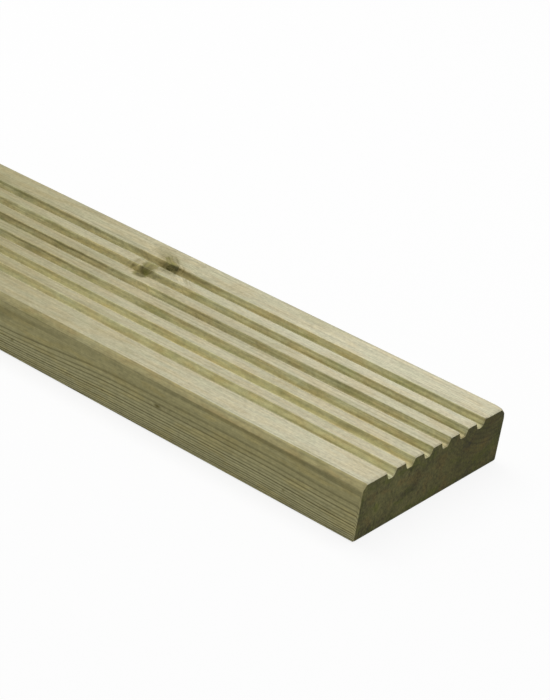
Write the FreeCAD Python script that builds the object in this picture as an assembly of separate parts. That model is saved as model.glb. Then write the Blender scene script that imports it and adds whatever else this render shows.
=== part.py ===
# A grooved softwood decking board, planed from one length of timber.
# Millimetres. X runs along the board, Y across it and Z up; the origin is under its middle.

import FreeCAD, Part
import math
import os

from FreeCAD import Vector

# Blank: the planed stock before it is grooved
board_length = 2400.0
board_width = 125.0
board_thickness = 32.0
tread_bevel = 3.0
bevel_arris_radius = 0.8
underside_edge_radius = 1.5

# Grooves: straight channels along the tread face, laid out about its centre line
groove_count = 6
groove_pitch = 15.5
groove_mouth = 7.5
groove_floor = 3.8
groove_depth = 3.9
groove_root_radius = 1.0
groove_lip_radius = 0.6


def tangent_points(before, corner, after, radius):
    # Start, middle and end of the arc of that radius that touches both sides of a corner
    to_before = (before - corner).normalize()
    to_after = (after - corner).normalize()
    half_angle = to_before.getAngle(to_after) / 2.0
    reach = radius / math.tan(half_angle)
    bisector = (to_before + to_after).normalize()
    crown = radius / math.sin(half_angle) - radius
    return corner + to_before * reach, corner + bisector * crown, corner + to_after * reach


def rounded_outline(corners):
    # Closed wire through (point, radius) corners: straight sides joined by tangent arcs
    points = [point for point, radius in corners]
    count = len(points)
    arcs = []
    for i, (point, radius) in enumerate(corners):
        arcs.append(tangent_points(points[i - 1], point, points[(i + 1) % count], radius))
    edges = []
    for i, (start, crown, end) in enumerate(arcs):
        next_start = arcs[(i + 1) % count][0]
        edges.append(Part.Arc(start, crown, end).toShape())
        edges.append(Part.LineSegment(end, next_start).toShape())
    return Part.Wire(edges)


def groove_corners(centre):
    # One groove in section, from its +Y lip down, along its floor and up to its -Y lip
    floor_level = board_thickness - groove_depth
    half_mouth = groove_mouth / 2.0
    half_floor = groove_floor / 2.0
    return [
        (Vector(0, centre + half_mouth, board_thickness), groove_lip_radius),
        (Vector(0, centre + half_floor, floor_level), groove_root_radius),
        (Vector(0, centre - half_floor, floor_level), groove_root_radius),
        (Vector(0, centre - half_mouth, board_thickness), groove_lip_radius),
    ]


def board_section():
    # Whole section in the plane X = 0: underside, bevelled +Y edge, grooved tread, bevelled -Y edge
    half_width = board_width / 2.0
    bevel_heel = board_thickness - tread_bevel
    bevel_top = half_width - tread_bevel
    corners = [
        (Vector(0, -half_width, 0), underside_edge_radius),
        (Vector(0, half_width, 0), underside_edge_radius),
        (Vector(0, half_width, bevel_heel), bevel_arris_radius),
        (Vector(0, bevel_top, board_thickness), bevel_arris_radius),
    ]
    first_groove = groove_pitch * (groove_count - 1) / 2.0
    for i in range(groove_count):
        corners += groove_corners(first_groove - i * groove_pitch)
    corners.append((Vector(0, -bevel_top, board_thickness), bevel_arris_radius))
    corners.append((Vector(0, -half_width, bevel_heel), bevel_arris_radius))
    return Part.Face(rounded_outline(corners))


def deck_board():
    # The section run along X and sawn square at both ends
    section = board_section()
    section.translate(Vector(-board_length / 2.0, 0, 0))
    return section.extrude(Vector(board_length, 0, 0))


os.makedirs("parts", exist_ok=True)
board = deck_board()
board.exportStep("parts/deck_board.step")
print("deck_board: valid", board.isValid(), "solids", len(board.Solids), "volume mm3", round(board.Volume))
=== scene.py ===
import math
from functools import reduce
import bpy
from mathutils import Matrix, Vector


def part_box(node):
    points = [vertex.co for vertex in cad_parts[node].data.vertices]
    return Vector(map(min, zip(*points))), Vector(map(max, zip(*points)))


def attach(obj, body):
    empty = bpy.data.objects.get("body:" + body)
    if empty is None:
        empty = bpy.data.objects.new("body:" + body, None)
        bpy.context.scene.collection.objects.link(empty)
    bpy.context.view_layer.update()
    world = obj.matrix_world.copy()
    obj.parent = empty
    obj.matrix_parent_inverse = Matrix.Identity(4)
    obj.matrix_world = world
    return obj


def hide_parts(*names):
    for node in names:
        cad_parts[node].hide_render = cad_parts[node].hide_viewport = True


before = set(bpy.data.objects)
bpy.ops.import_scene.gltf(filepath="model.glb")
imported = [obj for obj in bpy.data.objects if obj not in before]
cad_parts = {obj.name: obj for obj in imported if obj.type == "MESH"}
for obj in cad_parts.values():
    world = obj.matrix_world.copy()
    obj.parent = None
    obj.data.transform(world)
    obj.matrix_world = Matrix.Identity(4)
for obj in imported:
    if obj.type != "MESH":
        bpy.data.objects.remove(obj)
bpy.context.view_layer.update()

from types import SimpleNamespace

import bmesh
import bpy
from mathutils import Matrix, Vector, noise

mm = 0.001
low, high = (Vector(corner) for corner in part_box("deck_board"))
print("frame loaded, board", [round(side / mm, 1) for side in high - low], "mm")


# Knots run through the timber as leaning cones. Places and sizes are in millimetres, in the frame's axes.
# at: a point on its branch just under the tread, lean: the way the branch grew, girth: its radius there,
# dark: how dark its heart is, slant: how far its section leans over along X,
# stop: how far along the branch it stays dark, heartAside: how far its heart lies toward +X of its middle
plainKnot = dict(slant=0.3, stop=9.5, heartAside=0.0)
knots = [
    dict(
        at=(990.2, 40.5, 30.3), lean=(0.15, -0.76, -0.65), girth=4.4, dark=0.95,
        slant=1.7, stop=6.4, heartAside=1.9,
    ),
    dict(
        at=(983.8, 26.0, 30.5), lean=(0.20, -0.99, -0.12), girth=4.0, dark=0.6,
        slant=0.76, stop=11.0, heartAside=0.6,
    ),
    dict(plainKnot, at=(612.0, -31.0, 31.0), lean=(0.35, -0.66, -0.66), girth=4.6, dark=0.8),
    dict(plainKnot, at=(604.0, 50.0, 31.0), lean=(0.45, -0.28, -0.85), girth=2.8, dark=0.7),
    dict(plainKnot, at=(228.0, 8.0, 31.0), lean=(0.38, -0.66, -0.65), girth=5.2, dark=0.75),
    dict(plainKnot, at=(221.0, 33.0, 31.0), lean=(0.42, -0.50, -0.75), girth=3.2, dark=0.9),
    dict(plainKnot, at=(-196.0, -14.0, 31.0), lean=(0.33, -0.72, -0.60), girth=4.0, dark=0.85),
    dict(plainKnot, at=(-560.0, 44.0, 31.0), lean=(0.44, -0.36, -0.82), girth=4.4, dark=0.8),
    dict(plainKnot, at=(-569.0, -6.0, 31.0), lean=(0.32, -0.71, -0.62), girth=3.0, dark=0.9),
    dict(plainKnot, at=(-948.0, 17.0, 31.0), lean=(0.36, -0.64, -0.68), girth=4.8, dark=0.75),
]
knotFlare = 0.045       # how much a knot widens for each millimetre that its branch grew
knotSlimmest = 0.8      # no knot's radius goes under this
for knot in knots:
    knot["lean"] = Vector(knot["lean"]).normalized()
    knot["aside"] = knot["lean"].cross(Vector((1, 0, 0))).normalized()     # the way grain parts round it
    knot["ahead"] = knot["lean"].cross(knot["aside"])


# Board: the planed section, run along X
boardShape = dict(
    grooves=6,
    groovePitch=15.5 * mm,
    grooveMouth=7.5 * mm,
    grooveFloor=3.8 * mm,
    grooveDepth=3.9 * mm,
    treadBevel=3.0 * mm,
    lipRound=(0.6 * mm, 2),          # radius and number of steps
    rootRound=(1.0 * mm, 2),
    arrisRound=(0.8 * mm, 3),
    heelRound=(1.5 * mm, 3),
    acrossStep=5.0 * mm,             # loops along the board, across its faces
    upStep=3.2 * mm,                 # and up its edges
    nearStep=2.6 * mm,               # rings round the board in the last stretch before the +X end,
    knotStep=1.4 * mm,               # at the knots
    farStep=10.5 * mm,               # and along the rest
    nearLength=450.0 * mm,
    knotReach=13.0 * mm,
)


def sectionCorners(shape):
    # corners of the section as (y, z, rounding), round from the lower -Y edge
    top = high.z
    floor = top - shape["grooveDepth"]
    bevel = shape["treadBevel"]
    halfMouth = shape["grooveMouth"] / 2
    halfFloor = shape["grooveFloor"] / 2
    corners = [
        (low.y, low.z, "heelRound"),
        (high.y, low.z, "heelRound"),
        (high.y, top - bevel, "arrisRound"),
        (high.y - bevel, top, "arrisRound"),
    ]
    for i in range(shape["grooves"]):
        centre = shape["groovePitch"] * ((shape["grooves"] - 1) / 2 - i)
        corners += [
            (centre + halfMouth, top, "lipRound"),
            (centre + halfFloor, floor, "rootRound"),
            (centre - halfFloor, floor, "rootRound"),
            (centre - halfMouth, top, "lipRound"),
        ]
    corners += [(low.y + bevel, top, "arrisRound"), (low.y, top - bevel, "arrisRound")]
    return corners


def roundCorners(bm, shape, corners, verts):
    # each kind of corner is bevelled by its own tangent length
    for kind in ("heelRound", "arrisRound", "lipRound", "rootRound"):
        radius, steps = shape[kind]
        picked = [verts[i] for i, corner in enumerate(corners) if corner[2] == kind]
        i = next(i for i, corner in enumerate(corners) if corner[2] == kind)
        here, before, after = (Vector(corners[j % len(corners)][:2]) for j in (i, i - 1, i + 1))
        halfAngle = (before - here).angle(after - here) / 2
        bmesh.ops.bevel(
            bm, geom=picked, offset=radius / math.tan(halfAngle), offset_type="OFFSET",
            affect="VERTICES", segments=steps, profile=0.5, material=-1,
        )


def slicePlane(bm, place, normal):
    everything = bm.verts[:] + bm.edges[:] + bm.faces[:]
    bmesh.ops.bisect_plane(bm, geom=everything, plane_co=place, plane_no=normal)


def sliceEvenly(bm, start, stop, step, normal):
    # even cuts through the section face, which become loops along the board
    count = round((stop - start) / step)
    for i in range(1, count):
        slicePlane(bm, Vector(normal) * (start + (stop - start) * i / count), normal)


def stretches(shape):
    # (end, cuts) of each stretch along X: edges lie closer together at the knots and near the +X end
    marks = {high.x, high.x - shape["nearLength"]}
    for knot in knots:
        marks |= {knot["at"][0] * mm - shape["knotReach"], knot["at"][0] * mm + shape["knotReach"]}
    found = []
    here = low.x
    for mark in sorted(marks):
        middle = (here + mark) / 2
        step = shape["nearStep"] if middle > high.x - shape["nearLength"] else shape["farStep"]
        if any(abs(middle - knot["at"][0] * mm) < shape["knotReach"] for knot in knots):
            step = shape["knotStep"]
        found.append((mark, max(1, round((mark - here) / step)) - 1))
        here = mark
    return found


def farX(edge):
    return max(vert.co.x for vert in edge.verts)


def buildBoard(shape):
    bm = bmesh.new()
    corners = sectionCorners(shape)
    verts = [bm.verts.new((low.x, y, z)) for y, z, kind in corners]
    bm.faces.new(verts)
    roundCorners(bm, shape, corners, verts)
    sliceEvenly(bm, low.y, high.y, shape["acrossStep"], (0, 1, 0))
    sliceEvenly(bm, low.z, high.z, shape["upStep"], (0, 0, 1))
    grown = bmesh.ops.extrude_face_region(bm, geom=bm.faces[:])["geom"]
    moved = [item for item in grown if isinstance(item, bmesh.types.BMVert)]
    bmesh.ops.translate(bm, vec=(high.x - low.x, 0, 0), verts=moved)
    runs = stretches(shape)
    for end, cuts in runs[:-1]:
        slicePlane(bm, (end, 0, 0), (1, 0, 0))
    lengthwise = [edge for edge in bm.edges if abs(edge.verts[0].co.x - edge.verts[1].co.x) > 0.5 * mm]
    batches = []
    for end, cuts in runs:
        batches.append(([edge for edge in lengthwise if abs(farX(edge) - end) < 0.1 * mm], cuts))
    for edges, cuts in batches:
        bmesh.ops.subdivide_edges(bm, edges=edges, cuts=cuts, use_grid_fill=True)
    bmesh.ops.recalc_face_normals(bm, faces=bm.faces[:])
    return bm


# Wear: how the sawn ends, the groove lips and the knots stray from the clean section, in millimetres
boardWear = dict(
    arris=0.6,                      # width of the worn edge round both ends, and how far back it starts
    arrisBack=0.75,
    arrisRough=(0.6, 260.0),        # how uneven that is, and how fine
    skew=0.2,                       # the +X end is sawn this much out of square, +Y side short
    chips=[                         # corners knocked off the +X end: which side, how deep, along and across
        dict(side=1, deep=0.6, along=5.0, across=6.5),
        dict(side=-1, deep=0.5, along=4.0, across=5.0),
    ],
    treadDepth=5.0,                 # how far under the tread the rest of the wear goes
    lipWander=(0.14, 24.0),         # how far the groove lips stray, and the length of a bend
    lipWanderEnds=(47.0, 43.0),     # distances from the middle where that is none, and full
    planeWave=(0.05, 38.0, 16.0),   # the planer's waves: depth, length and width
    knotReach=2.4,                  # how far round a knot the mesh is finer, in its radii
    knotBranch=(-12.0, 2.0),        # how far along the branch from its place, and past its stop, a knot shows
    knotSink=0.35,
)


def smoothStep(value, start, stop):
    share = min(max((value - start) / (stop - start), 0.0), 1.0)
    return share * share * (3.0 - 2.0 * share)


def knotRadii(spot):
    # distance from the nearest knot's branch, in its radii
    nearest = 99.0
    before, past = boardWear["knotBranch"]
    for knot in knots:
        away = spot - Vector(knot["at"])
        along, beside = away.dot(knot["lean"]), away.dot(knot["aside"])
        if before < along < knot["stop"] + past:
            slanted = away.dot(knot["ahead"]) + knot["slant"] * beside
            girth = max(knot["girth"] + along * knotFlare, knotSlimmest)
            nearest = min(nearest, math.hypot(beside, slanted) / girth)
    return nearest


def wearTread(bm, wear):
    lowest = high.z / mm - wear["treadDepth"]
    worn = set()
    for face in bm.faces:
        middle = face.calc_center_median() / mm
        if middle.z > lowest and abs(face.normal.x) < 0.5 and knotRadii(middle) < wear["knotReach"]:
            worn.add(face)
    edges = [edge for edge in bm.edges if worn.intersection(edge.link_faces)]
    bmesh.ops.subdivide_edges(bm, edges=edges, cuts=1, use_grid_fill=True)
    bm.normal_update()
    wander, bend = wear["lipWander"]
    deep, waveLength, waveWidth = wear["planeWave"]
    pitch = boardShape["groovePitch"] / mm
    moves = []
    for vert in bm.verts:
        x, y, z = vert.co / mm
        if z < lowest or abs(vert.normal.x) > 0.5:
            continue
        groove = round(y / pitch - 0.5)
        stray = noise.noise((x / bend, groove * 5.3, 0.0))
        slide = wander * stray * smoothStep(abs(y), *wear["lipWanderEnds"])
        wave = 0.5 + 0.5 * noise.noise((x / waveLength, y / waveWidth, 3.7))
        drop = deep * wave * smoothStep(z, 31.0, 31.9)      # on the lands only
        sink = wear["knotSink"] * smoothStep(knotRadii(Vector((x, y, z))), 1.2, 0.6)
        moves.append((vert, Vector((0.0, slide, -drop)) * mm - vert.normal * sink * mm))
    for vert, move in moves:
        vert.co += move


def wearCorners(bm, wear):
    for chip in wear["chips"]:
        for vert in bm.verts:
            fromEnd, fromTop = (high.x - vert.co.x) / mm, (high.z - vert.co.z) / mm
            corner = math.hypot((high.y - vert.co.y * chip["side"]) / mm, fromTop)
            if fromEnd < chip["along"] and corner < chip["across"]:
                share = smoothStep(fromEnd, chip["along"], 0.0) * smoothStep(corner, chip["across"], 2.0)
                vert.co -= Vector((0.3, 0.7 * chip["side"], 0.7)) * chip["deep"] * mm * share


def wearEnds(bm, wear):
    uneven, fineness = wear["arrisRough"]
    for side in (1, -1):
        cap = [face for face in bm.faces if face.normal.x * side > 0.9]
        bmesh.ops.inset_region(bm, faces=cap, thickness=wear["arris"] * mm, use_even_offset=True)
        inside = {vert for face in cap for vert in face.verts}
        rim = {vert for inner in inside for edge in inner.link_edges for vert in edge.verts} - inside
        for vert in rim:
            vert.co.x -= side * wear["arrisBack"] * mm * (1.0 + uneven * noise.noise(vert.co * fineness))
        if side == 1:
            for vert in inside | rim:
                vert.co.x -= wear["skew"] * mm * (vert.co.y - low.y) / (high.y - low.y)


board = bpy.data.objects.new("deck_board_timber", bpy.data.meshes.new("deck_board_timber"))
bpy.context.collection.objects.link(board)
bm = buildBoard(boardShape)
wearTread(bm, boardWear)
wearCorners(bm, boardWear)
wearEnds(bm, boardWear)
for face in bm.faces:
    face.smooth = True
for edge in bm.edges:
    edge.smooth = edge.calc_face_angle(0.0) < math.radians(40)
print("open edges", sum(not edge.is_manifold for edge in bm.edges))
bm.to_mesh(board.data)
print("board mesh", len(bm.verts), "points", sum(len(face.verts) - 2 for face in bm.faces), "triangles")
bm.free()
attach(board, "root")
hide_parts("deck_board")


class Wire:
    # a shader socket that works in Python sums: each sum adds its Math node
    def __init__(self, socket):
        self.socket = socket

    def node(self, kind, settings, inputs, out=0):
        tree = self.socket.id_data
        made = tree.nodes.new(kind)
        for name, value in settings.items():
            setattr(made, name, value)
        for key, value in inputs.items():
            if isinstance(value, Wire):
                tree.links.new(value.socket, made.inputs[key])
            else:
                made.inputs[key].default_value = value
        return Wire(made.outputs[out])

    def output(self, name):
        return Wire(self.socket.node.outputs[name])

    def maths(self, operation, *values):
        return self.node("ShaderNodeMath", dict(operation=operation), dict(enumerate(values)))

    def __add__(self, other):
        return self.maths("ADD", self, other)

    def __radd__(self, other):
        return self.maths("ADD", other, self)

    def __sub__(self, other):
        return self.maths("SUBTRACT", self, other)

    def __rsub__(self, other):
        return self.maths("SUBTRACT", other, self)

    def __mul__(self, other):
        return self.maths("MULTIPLY", self, other)

    def __rmul__(self, other):
        return self.maths("MULTIPLY", other, self)

    def __truediv__(self, other):
        return self.maths("DIVIDE", self, other)

    def __rtruediv__(self, other):
        return self.maths("DIVIDE", other, self)

    def __pow__(self, other):
        return self.maths("POWER", self, other)

    def __abs__(self):
        return self.maths("ABSOLUTE", self)


def vectorMaths(operation, first, second, out=0):
    wire = first if isinstance(first, Wire) else second
    return wire.node("ShaderNodeVectorMath", dict(operation=operation), {0: first, 1: second}, out)


def scaled(vector, size):
    wire = vector if isinstance(vector, Wire) else size
    return wire.node("ShaderNodeVectorMath", dict(operation="SCALE"), {0: vector, "Scale": size})


def ease(value, start, stop):
    # 0 at start, 1 at stop, with soft ends
    return value.node(
        "ShaderNodeMapRange", dict(interpolation_type="SMOOTHSTEP"),
        {"Value": value, "From Min": start, "From Max": stop},
    )


def least(value, other):
    return value.maths("MINIMUM", value, other)


def most(value, other):
    return value.maths("MAXIMUM", value, other)


def tint(share, first, second):
    return share.node("ShaderNodeMix", dict(data_type="RGBA"), {0: share, 6: first, 7: second}, out=2)


def stained(colour, share, tone):
    # the colour, multiplied by a tone where share is 1
    settings = dict(data_type="RGBA", blend_type="MULTIPLY")
    return share.node("ShaderNodeMix", settings, {0: share, 6: colour, 7: tone}, out=2)


def cloud(place, size, detail=2.0, roughness=0.5, seed=0.0):
    # noise from 0 to 1 whose patches are about size (x, y, z) millimetres
    shift = (seed, seed * 1.7, seed * 2.3)
    stretch = tuple(1 / side for side in size)
    stretched = place.node("ShaderNodeMapping", {}, {"Vector": place, "Location": shift, "Scale": stretch})
    inputs = {"Vector": stretched, "Scale": 1.0, "Detail": detail, "Roughness": roughness}
    return stretched.node("ShaderNodeTexNoise", {}, inputs)


def cloudAlong(value, size):
    # the same along one line
    inputs = {"W": value / size, "Scale": 1.0, "Detail": 1.0}
    return value.node("ShaderNodeTexNoise", dict(noise_dimensions="1D"), inputs)


# Timber: what a user would change of its looks. Colours are linear RGB, sizes are in millimetres.
# A tone multiplies the colour that it falls on.
timberLook = dict(
    pith=(53.0, 64.0),                      # y and z of the tree's centre
    ringWidth=2.6,
    closeRingsFrom=123.05,                  # radius where the rings start to crowd, and how fast
    crowding=(0.30, 0.085),
    ringStart=0.15,                         # shifts the rings, outside and inside the heart of the board
    innerStart=0.58,
    ringSeed=3969.0,                        # picks which rings are strong
    grain=dict(fibre=0.16, hair=0.50, streak=0.20, mottle=0.36, fuzz=0.65),     # how much each figure shows
    landPale=(0.598, 0.560, 0.394, 1.0),    # planed lands, bleached near the ends
    landDull=(0.352, 0.318, 0.172, 1.0),
    landNear=(0.955, 0.945, 0.920, 1.0),    # toward -Y
    landWarm=(0.995, 0.961, 0.915, 1.0),
    landCool=(0.966, 0.992, 0.995, 1.0),
    landDim=(0.88, 0.87, 0.82, 1.0),
    landLate=(0.66, 0.64, 0.54, 1.0),
    cutColour=(0.555, 0.514, 0.266, 1.0),   # grooves and bevels, as the cutter left them
    cutGreen=(0.80, 0.82, 0.72, 1.0),
    cutBrown=(0.98, 0.915, 0.85, 1.0),
    cutPale=(1.00, 1.035, 1.10, 1.0),
    cutNear=(1.00, 1.01, 1.05, 1.0),
    cutLate=(0.62, 0.61, 0.50, 1.0),
    nearWall=-36.0,                         # y of the +Y walls of the two grooves nearest to -Y
    nextWall=-21.0,
    # painted shade: the darker line just under the groove lips
    underLipShade=(0.72, 0.71, 0.65, 1.0),
    # painted light: the cooler, bluer tone of the groove bottoms, which offsets the shade deep in the grooves
    floorTone=(0.97, 0.97, 1.08, 1.0),
    bevelTone=(0.69, 0.66, 0.61, 1.0),
    sideColour=(0.596, 0.556, 0.292, 1.0),
    sideHigh=(0.86, 0.84, 0.76, 1.0),
    sideWarm=(1.02, 0.985, 0.90, 1.0),
    sideLate=(0.27, 0.26, 0.19, 1.0),
    endColour=(0.146, 0.138, 0.049, 1.0),
    endGreen=(0.80, 0.88, 0.55, 1.0),
    endBrown=(1.10, 0.97, 0.90, 1.0),
    endDark=(0.66, 0.64, 0.56, 1.0),
    endRim=(0.74, 0.76, 0.66, 1.0),
    endFar=(0.64, 0.62, 0.47, 1.0),         # the end's darker half, toward +Y
    endLate=(0.62, 0.61, 0.54, 1.0),
    knotFace=(0.240, 0.209, 0.086, 1.0),
    knotHeart=(0.072, 0.066, 0.011, 1.0),
    knotGreen=(0.92, 1.02, 0.66, 1.0),
    knotBrown=(0.70, 0.68, 0.58, 1.0),
    knotHalo=(1.22, 1.20, 1.20, 1.0),
    tornTone=(0.77, 0.75, 0.66, 1.0),
    soakTakes=(0.54, 0.565, 0.68),          # share of each colour that a full soak takes away
)

# Figures that follow the grain, and part with it round the knots
grainFigures = dict(
    fibre=dict(size=(30.0, 0.6, 0.6), detail=3.0, roughness=0.65),
    hair=dict(size=(170.0, 0.7, 0.7), roughness=0.6, seed=1.9),
    streak=dict(size=(110.0, 3.0, 3.0), seed=3.1),
    blotch=dict(size=(34.0, 7.0, 7.0), detail=3.0, roughness=0.55, seed=7.7),
    patch=dict(size=(20.0, 5.0, 5.0), detail=3.0, seed=11.3),
    mottle=dict(size=(8.0, 2.6, 2.6), detail=3.0, roughness=0.6, seed=6.1),
)

# Figures that do not: nap, weather, the breaks in the painted shade under the groove lips, and the sawn ends'
# pores, smears, tinges and marks
surfaceFigures = dict(
    fuzz=dict(size=(2.4, 1.3, 1.3), roughness=0.7, seed=2.7),
    wide=dict(size=(170.0, 45.0, 45.0), seed=5.9),
    broken=dict(size=(90.0, 7.0, 30.0), detail=1.0, seed=12.9),
    pore=dict(size=(4.0, 1.8, 1.8), detail=3.0, roughness=0.6, seed=8.3),
    smear=dict(size=(40.0, 15.0, 9.0), detail=3.0, roughness=0.55, seed=9.2),
    tinge=dict(size=(40.0, 11.0, 7.0), seed=15.6),
    saw=dict(size=(60.0, 1.5, 30.0), roughness=0.6, seed=17.1),
)

# Patches where the preservative soaked in, and small resin marks: at, size and how dark (below 0: paler)
soaks = [
    # on the groove walls
    dict(at=(877.9, 41.6, 30.1), size=(15.0, 4.0, 3.0), dark=0.45),
    dict(at=(969.0, 41.9, 30.8), size=(15.0, 3.0, 2.0), dark=0.4),
    dict(at=(984.0, 41.6, 30.0), size=(4.0, 2.0, 2.6), dark=0.25),
    dict(at=(996.5, 42.4, 31.6), size=(3.2, 1.4, 1.2), dark=0.35),
    dict(at=(996.5, 41.5, 30.0), size=(1.8, 2.0, 2.4), dark=-0.35),
    dict(at=(1006.0, 41.9, 31.0), size=(24.0, 3.0, 2.2), dark=0.75),
    dict(at=(971.0, 26.2, 30.2), size=(6.0, 2.5, 2.6), dark=0.25),
    dict(at=(975.5, 26.4, 30.6), size=(1.8, 2.0, 2.2), dark=0.5),
    dict(at=(979.0, 26.2, 30.0), size=(2.0, 2.0, 2.6), dark=-0.5),
    dict(at=(998.0, 26.2, 30.4), size=(12.0, 3.0, 2.0), dark=0.5),
    dict(at=(1110.0, 26.0, 30.0), size=(36.0, 3.0, 3.0), dark=-0.15),
    dict(at=(948.0, 11.2, 31.2), size=(34.0, 2.0, 1.0), dark=0.3),
    dict(at=(981.0, 9.6, 28.9), size=(9.0, 2.0, 1.4), dark=0.3),
    dict(at=(998.0, 11.0, 30.6), size=(17.0, 3.0, 2.6), dark=-1.1),
    dict(at=(1032.0, 11.2, 31.2), size=(36.0, 2.0, 1.0), dark=0.25),
    dict(at=(1129.4, 11.2, 31.5), size=(26.0, 2.0, 0.9), dark=0.5),
    dict(at=(929.0, -5.2, 29.4), size=(12.0, 3.0, 2.0), dark=0.6),
    dict(at=(969.8, -4.5, 30.9), size=(11.0, 2.5, 1.4), dark=0.5),
    dict(at=(1020.0, -5.6, 28.9), size=(30.0, 2.0, 1.4), dark=0.3),
    dict(at=(1159.7, -20.3, 30.3), size=(12.0, 3.0, 1.5), dark=0.45),
    # on the lands
    dict(at=(993.3, 45.3, 32.0), size=(4.0, 2.6, 1.5), dark=-0.25),
    dict(at=(974.5, 29.5, 32.0), size=(2.4, 2.6, 1.5), dark=0.35),
    dict(at=(984.0, 30.5, 32.0), size=(5.0, 4.0, 2.0), dark=0.25),
    dict(at=(994.5, 33.4, 32.0), size=(8.0, 3.2, 2.0), dark=0.8),
    dict(at=(987.5, 18.5, 32.0), size=(4.0, 3.0, 2.0), dark=0.2),
    dict(at=(1112.0, 13.9, 32.0), size=(1.4, 0.8, 2.0), dark=0.3),
    dict(at=(1130.6, 15.0, 32.0), size=(2.2, 0.8, 2.0), dark=0.4),
    # on the -Y side
    dict(at=(1160.0, -62.5, 28.1), size=(80.0, 3.0, 1.8), dark=0.15),
    dict(at=(1073.0, -62.5, 16.6), size=(2.8, 3.0, 1.2), dark=1.1),
    dict(at=(972.0, -62.5, 10.1), size=(1.5, 3.0, 1.1), dark=0.7),
    dict(at=(1156.0, -62.5, 7.9), size=(1.3, 3.0, 1.0), dark=0.6),
    dict(at=(1036.5, -62.5, 9.2), size=(1.2, 3.0, 0.8), dark=0.5),
    # on the +X end
    dict(at=(1200.0, -37.8, 6.0), size=(3.0, 13.0, 4.5), dark=0.3),
    dict(at=(1200.0, 5.0, 24.0), size=(3.0, 9.0, 4.0), dark=0.4),
    dict(at=(1200.0, 43.0, 24.0), size=(3.0, 15.0, 6.0), dark=0.4),
    dict(at=(1200.0, -55.0, 12.5), size=(3.0, 8.0, 8.0), dark=0.25),
    dict(at=(1200.0, -20.0, 24.0), size=(3.0, 8.0, 4.0), dark=-0.3),
    dict(at=(1200.0, 42.0, 3.5), size=(3.0, 22.0, 5.0), dark=-0.5),
]


def oneKnot(knot, place, ragged, speck):
    away = vectorMaths("SUBTRACT", place, knot["at"])
    along = vectorMaths("DOT_PRODUCT", away, knot["lean"], out=1)
    beside = vectorMaths("DOT_PRODUCT", away, knot["aside"], out=1)
    ahead = vectorMaths("DOT_PRODUCT", away, knot["ahead"], out=1)
    slanted = ahead + knot["slant"] * beside
    shifted = slanted + knot["heartAside"]
    girth = most(along * knotFlare + knot["girth"], knotSlimmest)
    radii = ((beside * beside + slanted * slanted) ** 0.5 + ragged) / girth
    heartRadii = ((beside * beside + shifted * shifted) ** 0.5 + ragged) / girth

    # the grain that it pushes aside, and the rings that swell by it
    near = ease(along, 26.0, 12.0) * ease(along, -40.0, -20.0)
    axis2 = beside * beside + ahead * ahead
    girth2 = girth * girth * 1.3
    push = beside * girth2 / most(beside * beside + 0.16 * ahead * ahead, girth2)
    fade = ease(axis2, 900.0, 100.0) * near
    spread = axis2 / (14.0 * knot["girth"] * knot["girth"]) + 1.0

    # its own wood, the heart in it, and the brown round it
    stop = knot["stop"]
    left = ease(along, stop + 0.5, stop - 2.0)
    heart = ease(along, -4.2, -2.0) * left * ease(heartRadii, 0.98, 0.6) * (0.6 + 0.4 * speck)
    tail = ease(along, -20.0, -8.0) * ease(along, stop - 1.0, stop - 4.0)
    widened = 1.0 + 0.04 * most(0.0 - along, 0.0)
    return SimpleNamespace(
        local=away.node("ShaderNodeCombineXYZ", {}, {0: along, 1: beside, 2: slanted}),
        radii=radii,
        push=scaled(knot["aside"], push * fade),
        swell=0.6 * knot["girth"] * near / (spread * spread),
        body=ease(along, -10.5, -6.5) * left * ease(radii, 1.25, 0.85),
        heart=heart * knot["dark"],
        brown=tail * ease(radii / widened, 2.5, 0.9),
    )


def knotField(place):
    # the nearest knot's own axes and radii, all knots' bodies, hearts and brown surrounds, how far the
    # rings swell by them, and the place with the grain parted round them
    ragged = 5.0 * cloud(place, (3.2, 3.2, 3.2)) - 2.5
    speck = ease(cloud(place, (2.6, 2.0, 2.0), roughness=0.6, seed=14.2), 0.40, 0.58)
    found = [oneKnot(knot, place, ragged, speck) for knot in knots]
    field = SimpleNamespace(local=found[0].local, radii=found[0].radii, parted=place)
    for other in found[1:]:
        closer = other.radii.maths("LESS_THAN", other.radii, field.radii)
        mixed = {0: closer, 4: field.local, 5: other.local}
        field.local = closer.node("ShaderNodeMix", dict(data_type="VECTOR"), mixed, out=1)
        field.radii = least(field.radii, other.radii)
    for knot in found:
        field.parted = vectorMaths("SUBTRACT", field.parted, knot.push)
    field.swell = sum(knot.swell for knot in found)
    field.body = reduce(most, [knot.body for knot in found])
    field.heart = reduce(most, [knot.heart for knot in found])
    field.brown = reduce(most, [knot.brown for knot in found])
    return field


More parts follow.
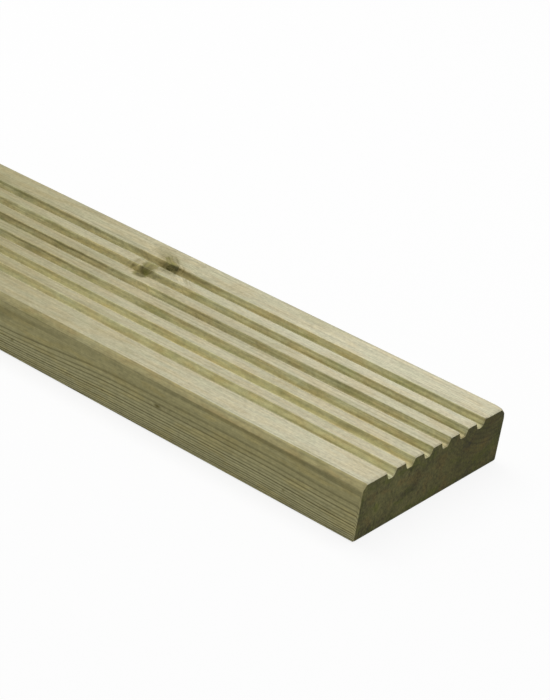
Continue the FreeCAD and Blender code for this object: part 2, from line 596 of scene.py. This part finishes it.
def growthRings(look, wood):
    # how much latewood there is, from 0 to 1
    x, z, parted = wood.x, wood.z, wood.knots.parted
    split = parted.node("ShaderNodeSeparateXYZ", {}, {0: parted})
    loose = ease(x, 960.0, 700.0)         # the pith wanders more, away from the +X end
    pithY = loose * (9.0 * cloudAlong(x, 430.0) - 4.5) + look["pith"][0]
    pithZ = loose * (11.0 * cloudAlong(x + 900.0, 310.0) - 5.5) + look["pith"][1]
    dy, dz = split.output("Y") - pithY, split.output("Z") - pithZ

    # the tree was not quite round or straight: long waves, short ones by the knots, a hump and a dip
    waver = (cloud(parted, (80.0, 18.0, 18.0)) - 0.5) * (0.25 + loose)
    ripple = 2.2 * ease(x, 1030.0, 960.0) * ease(z, 27.0, 28.5)
    ripple = ripple * (cloud(parted, (17.0, 13.0, 13.0), detail=1.0) - 0.5)
    hump = 0.48 * ease(x, 1195.0, 1130.0) * ease(x, 990.0, 1110.0)
    dip = 2.4 * ease(x, 1050.0, 945.0) * (0.5 + 0.5 * ease(z, 3.0, 17.0)) * (1.0 - 0.75 * ease(z, 18.0, 25.0))
    radius = (dy * dy + dz * dz) ** 0.5 + waver + ripple + hump - dip - wood.knots.swell

    crowd = most(radius - look["closeRingsFrom"], 0.0)
    inner = ease(radius, 119.0, 110.0)
    begin = look["ringStart"] + inner * (look["innerStart"] - look["ringStart"])
    closer, closerYet = look["crowding"]
    phase = radius / look["ringWidth"] + crowd * (closer + closerYet * crowd) + begin
    phase = phase + 1.6 * cloudAlong(radius, 11.0) * inner * loose
    part = phase.maths("FRACT", phase)
    year = phase.maths("FLOOR", phase)
    weight = year.node("ShaderNodeTexWhiteNoise", dict(noise_dimensions="1D"), {"W": year + look["ringSeed"]})
    start = 0.54 - 0.06 * ease(radius, 123.0, 127.0) - 0.08 * inner
    late = ease(part - start, 0.0, 0.28) * ease(part, 1.0, 0.92)
    return late * (0.36 + 0.6 * weight)


def soakField(place):
    # how dark all the soaks make a place
    shares = []
    for soak in soaks:
        away = vectorMaths("DIVIDE", vectorMaths("SUBTRACT", place, soak["at"]), soak["size"])
        far = away.node("ShaderNodeVectorMath", dict(operation="LENGTH"), {0: away}, out=1)
        shares.append(ease(far, 1.1, 0.2) * soak["dark"])
    return sum(shares)


def readWood(look, coords):
    # the place in millimetres, the knots, rings and figures there, and which kind of surface it is
    wood = SimpleNamespace(place=scaled(coords, 1 / mm))
    split = wood.place.node("ShaderNodeSeparateXYZ", {}, {0: wood.place})
    wood.x, wood.y, wood.z = split, split.output("Y"), split.output("Z")
    wood.knots = knotField(wood.place)
    wood.late = growthRings(look, wood)
    for name, figure in grainFigures.items():
        setattr(wood, name, cloud(wood.knots.parted, **figure))
    for name, figure in surfaceFigures.items():
        setattr(wood, name, cloud(wood.place, **figure))
    wood.grain = sum(share * getattr(wood, name) for name, share in look["grain"].items())

    # the sawn ends, the planed lands, what the cutter grooved or bevelled; the plain sides are the rest
    facing = coords.output("Normal")
    facing = facing.node("ShaderNodeSeparateXYZ", {}, {0: facing})
    facingX, facingY = abs(facing), abs(facing.output("Y"))
    wood.fromMiddle = abs(wood.y)
    wood.end = ease(facingX, 0.75, 0.9) * ease(wood.fromMiddle + 0.8 * (wood.mottle - 0.5), 62.2, 61.3)
    wood.land = ease(facingY + 0.1 * (wood.fibre - 0.5), 0.43, 0.17) * ease(wood.z, 29.5, 30.5)
    wood.outer = ease(wood.fromMiddle, 47.0, 53.0)
    wood.cut = ease(wood.z - 3.0 * wood.outer, 25.6, 25.9)
    wood.bevel = ease(wood.fromMiddle, 55.0, 58.0)
    bleached = abs(wood.x) + 150.0 * (wood.wide - 0.5) + 40.0 * ease(wood.y, 5.0, 40.0)
    wood.bleach = ease(bleached, 830.0, 1190.0)
    return wood


def colourLands(look, wood):
    y = wood.y
    colour = tint(wood.bleach, look["landDull"], look["landPale"])
    colour = stained(colour, ease(y, 36.0, 14.0) * ease(y, -60.0, -30.0), look["landNear"])
    colour = stained(colour, ease(wood.patch, 0.48, 0.64), look["landWarm"])
    colour = stained(colour, ease(wood.patch, 0.50, 0.36), look["landCool"])
    colour = stained(colour, ease(wood.blotch, 0.50, 0.30), look["landDim"])
    ringed = wood.late * (1.0 - ease(wood.knots.radii, 5.0, 2.0)) * ease(wood.wide, 0.2, 0.5)
    ringed = ringed * (0.45 * ease(y, 24.0, 8.0) + 0.55 * ease(wood.fromMiddle, 9.0, 5.0))
    colour = stained(colour, ringed, look["landLate"])
    farHair = 0.6 * ease(y, 34.0, 44.0) * (wood.hair - 0.5)
    return scaled(colour, wood.grain + farHair + 0.08)


def colourCuts(look, wood):
    y, z = wood.y, wood.z
    nearWall, nextWall = abs(y - look["nearWall"]), abs(y - look["nextWall"])
    colour = stained(look["cutColour"], wood.bevel, look["bevelTone"])
    colour = stained(colour, ease(wood.blotch, 0.50, 0.32), look["cutGreen"])
    colour = stained(colour, ease(wood.patch, 0.48, 0.64), look["cutBrown"])
    colour = stained(colour, ease(wood.patch, 0.46, 0.34), look["cutPale"])
    colour = stained(colour, ease(nearWall, 8.0, 5.0), look["cutNear"])

    # rings show less by the knots, toward +Y, on the bevels and on the next wall
    plain = (1.0 - 0.75 * ease(wood.knots.radii, 9.0, 3.5)) * (1.0 - 0.4 * ease(y, 18.0, 30.0))
    plain = plain * (1.0 - 0.8 * wood.bevel) * (1.0 - 0.5 * ease(nextWall, 5.0, 3.0))
    colour = stained(colour, wood.late * plain, look["cutLate"])

    # painted shade: a darker line under the lips that comes and goes along its length; then the floors, whose
    # cooler tone is painted light against the shade deep in the grooves
    lipped = most(ease(y, 32.0, 38.0), 0.8 * ease(abs(y + 4.0), 20.0, 17.0))
    lip = ease(abs(z - 31.1), 1.0, 0.1) * (0.25 + 0.75 * lipped)
    lip = lip * ease(wood.broken, 0.3, 0.55)
    colour = stained(colour, lip * (1.0 - wood.outer), look["underLipShade"])
    # painted light at the groove bottoms, offsetting the shade deep in the grooves
    colour = stained(colour, ease(z, 29.2, 28.3) * (1.0 - wood.outer), look["floorTone"])
    shade = 0.16 * wood.bleach + 0.11 * ease(y, 6.0, 16.0) + 0.15 * ease(y, 14.0, -14.0) - 0.46
    shade = shade + 0.08 * ease(y, -12.0, -22.0)
    return scaled(colour, wood.grain + 0.2 * wood.hair + 0.3 * wood.mottle + shade)


def colourSides(look, wood):
    x, z = wood.x, wood.z
    colour = stained(look["sideColour"], ease(z, 8.0, 22.0), look["sideHigh"])
    colour = stained(colour, ease(wood.patch, 0.48, 0.64), look["sideWarm"])
    lined = 0.42 + 0.40 * ease(z, 24.0, 16.0) + 0.36 * ease(z, 12.5, 9.0)
    gap = ease(x, 985.0, 1010.0) * ease(x, 1090.0, 1065.0) * ease(z, 23.0, 25.5)     # fewer lines up here
    lined = lined * (1.0 - 0.75 * gap)
    colour = stained(colour, wood.late * lined, look["sideLate"])
    return scaled(colour, wood.grain + 0.14 * wood.fibre + 0.3 * wood.blotch - 0.12)


def colourKnots(look, wood, colour):
    # brown that spreads, torn fibre and a paler streak, then the knot and its dark heart
    field = wood.knots
    along = field.local.node("ShaderNodeSeparateXYZ", {}, {0: field.local})
    torn = cloud(field.local, (18.0, 6.0, 2.2), seed=4.4)
    shown = ease(along, 12.0, 7.0) * ease(along, -14.0, -8.0)
    colour = stained(colour, field.brown * (0.6 + 0.8 * wood.mottle), look["knotBrown"])
    colour = stained(colour, shown * ease(field.radii, 3.2, 1.8) * ease(torn, 0.52, 0.34), look["tornTone"])
    pale = ease(field.radii, 2.3, 1.6) * ease(field.radii, 1.1, 1.4) * ease(torn, 0.45, 0.6)
    colour = stained(colour, shown * pale, look["knotHalo"])
    colour = tint(field.body, colour, scaled(look["knotFace"][:3], 0.1 + 1.8 * torn))
    colour = stained(colour, field.body * ease(wood.mottle, 0.48, 0.62), look["knotGreen"])
    return tint(field.heart, colour, look["knotHeart"])


def colourEnds(look, wood):
    y, z = wood.y, wood.z
    colour = stained(look["endColour"], ease(y, -35.0, 40.0), look["endFar"])
    arcs = wood.late * (0.4 + 0.6 * ease(y, 0.0, 40.0) * ease(z, 8.0, 20.0))
    colour = stained(colour, arcs, look["endLate"])
    colour = stained(colour, ease(wood.tinge, 0.52, 0.66), look["endBrown"])
    colour = stained(colour, ease(wood.tinge, 0.47, 0.33), look["endGreen"])
    colour = stained(colour, ease(wood.smear, 0.45, 0.30), look["endDark"])
    rim = most(most(ease(wood.fromMiddle, 56.0, 62.0), ease(z, 5.0, 0.5)), 0.7 * ease(z, 26.0, 31.0))
    colour = stained(colour, rim, look["endRim"])
    sawn = (0.45 + 0.6 * ease(y, -30.0, -50.0)) * (wood.saw - 0.5)
    return scaled(colour, 1.6 * wood.pore + 1.2 * wood.smear + sawn + 1.6 * wood.fuzz - 1.13)


def timberMaterial(look):
    made = bpy.data.materials.new("treatedSoftwood")
    made.use_nodes = True
    tree = made.node_tree
    shader = tree.nodes["Principled BSDF"]
    wood = readWood(look, Wire(tree.nodes.new("ShaderNodeTexCoord").outputs["Object"]))
    colour = tint(wood.cut, colourSides(look, wood), colourCuts(look, wood))
    colour = tint(wood.land, colour, colourLands(look, wood))
    colour = colourKnots(look, wood, colour)
    colour = tint(wood.end, colour, colourEnds(look, wood))
    left = vectorMaths("SUBTRACT", (1.0, 1.0, 1.0), scaled(look["soakTakes"], soakField(wood.place)))
    colour = vectorMaths("MULTIPLY", colour, left)
    roughness = 0.84 - 0.14 * wood.knots.heart - 0.08 * wood.blotch
    height = 0.05 * wood.fibre + 0.04 * wood.fuzz + 0.03 * wood.late - 0.10 * wood.knots.heart
    bump = height.node("ShaderNodeBump", {}, {"Strength": 1.0, "Distance": mm, "Height": height})
    tree.links.new(colour.socket, shader.inputs["Base Color"])
    tree.links.new(roughness.socket, shader.inputs["Roughness"])
    tree.links.new(bump.socket, shader.inputs["Normal"])
    shader.inputs["Specular IOR Level"].default_value = 0.3
    return made


board.data.materials.append(timberMaterial(timberLook))
print("timber finished")


# Floor, lamps and camera
studio = dict(
    skyLight=0.28,           # even light from all round
    boxLight=56.0,           # watts of the overhead soft box
    boxPlace=(0.3, 0.3, 2.3),
    boxAim=(0.3, 0.0, 0.0),
    boxSize=(3.6, 1.6),
    floorSize=30.0,
    floorDrop=0.2 * mm,      # keeps it clear of the board's underside
    floorTone=0.48,          # how much light the floor throws back up
    floorPaper=0.95,         # the floor's colour to the eye
    floorWhite=0.86,         # share of plain white in what the camera sees of it
    eye=(1.66417, -0.83517, 0.55464),
    aim=(1.16279, -0.09912, 0.09984),
    roll=9.43,
    lens=113.97,
)


def grey(tone):
    return (tone, tone, tone, 1.0)


def seenRays(tree):
    # 1 for what the camera sees straight, mirrored or through glass
    path = Wire(tree.nodes.new("ShaderNodeLightPath").outputs["Is Camera Ray"])
    return most(most(path, path.output("Is Glossy Ray")), path.output("Is Transmission Ray"))


def turnToward(place, aim):
    return (Vector(aim) - Vector(place)).to_track_quat("-Z", "Y")


def floorMaterial():
    paper = bpy.data.materials.new("floorPaper")
    paper.use_nodes = True
    tree = paper.node_tree
    tree.nodes.remove(tree.nodes["Principled BSDF"])
    seen = seenRays(tree)
    tone = tint(seen, grey(studio["floorTone"]), grey(studio["floorPaper"]))
    matt = tone.node("ShaderNodeBsdfDiffuse", {}, {"Color": tone})
    white = tone.node("ShaderNodeEmission", {}, {"Color": grey(1.0), "Strength": 1.0})
    mixed = tone.node("ShaderNodeMixShader", {}, {0: seen * studio["floorWhite"], 1: matt, 2: white})
    tree.links.new(mixed.socket, tree.nodes["Material Output"].inputs["Surface"])
    return paper


def addFloor():
    floorMesh = bpy.data.meshes.new("floor")
    bm = bmesh.new()
    bmesh.ops.create_grid(bm, x_segments=1, y_segments=1, size=studio["floorSize"])
    bmesh.ops.translate(bm, vec=(0, 0, -studio["floorDrop"]), verts=bm.verts[:])
    bm.to_mesh(floorMesh)
    bm.free()
    floor = bpy.data.objects.new("floor", floorMesh)
    bpy.context.collection.objects.link(floor)
    floorMesh.materials.append(floorMaterial())


def addLight():
    world = bpy.data.worlds.new("studio")
    bpy.context.scene.world = world
    world.use_nodes = True
    sky = world.node_tree.nodes["Background"]
    strength = (1.0 - studio["skyLight"]) * seenRays(world.node_tree) + studio["skyLight"]
    world.node_tree.links.new(strength.socket, sky.inputs["Strength"])
    sky.inputs["Color"].default_value = grey(1.0)
    lamp = bpy.data.lights.new("softBox", "AREA")
    lamp.shape = "RECTANGLE"
    lamp.size, lamp.size_y = studio["boxSize"]
    lamp.energy = studio["boxLight"]
    softBox = bpy.data.objects.new("softBox", lamp)
    softBox.location = studio["boxPlace"]
    softBox.rotation_euler = turnToward(studio["boxPlace"], studio["boxAim"]).to_euler()
    bpy.context.collection.objects.link(softBox)


def addCamera():
    camera = bpy.data.objects.new("camera", bpy.data.cameras.new("camera"))
    camera.data.lens = studio["lens"]
    camera.data.sensor_width = 36.0
    camera.data.clip_end = 100.0
    turn = turnToward(studio["eye"], studio["aim"]).to_matrix().to_4x4()
    roll = Matrix.Rotation(math.radians(studio["roll"]), 4, "Z")
    camera.matrix_world = Matrix.Translation(studio["eye"]) @ turn @ roll
    bpy.context.collection.objects.link(camera)
    bpy.context.scene.camera = camera


addFloor()
addLight()
addCamera()
bpy.context.scene.view_settings.view_transform = "Standard"
print("floor, light and camera in place")
